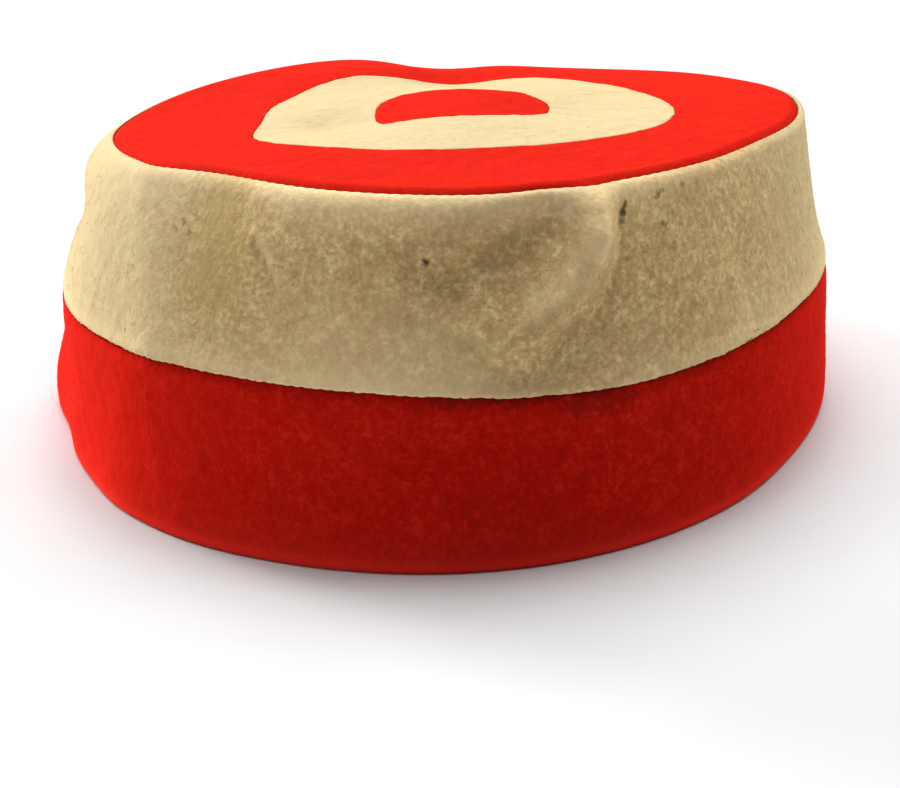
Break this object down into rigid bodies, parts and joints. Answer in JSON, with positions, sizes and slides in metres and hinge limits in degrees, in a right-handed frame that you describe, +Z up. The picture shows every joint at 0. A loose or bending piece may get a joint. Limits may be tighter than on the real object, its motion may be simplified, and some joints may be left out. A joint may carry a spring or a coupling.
{
  "type": "pillbox hat",
  "caption": "Round brimless felt hat with upright sides and a flat crown of nested rings; it rests on its rim and is worn on top of the head.",
  "frame": {"origin": "middle of the hat's box, on the plane that the rim rests on", "axes": "+Z up from the rim to the crown, +Y from the front of the hat to the back, +X to the right as seen from the front"},
  "size_m": [0.1776, 0.1894, 0.0722],
  "materials": {
    "red_felt": "thick red wool felt with a short nap, matt",
    "cream_felt": "thick cream wool felt, fuzzy and slightly mottled, matt"
  },
  "bodies": {
    "root": {"side_lower": "red_felt", "side_upper": "cream_felt", "crown_outer_ring": "red_felt", "crown_inner_ring": "cream_felt", "crown_centre": "red_felt"}
  },
  "joints": []
}
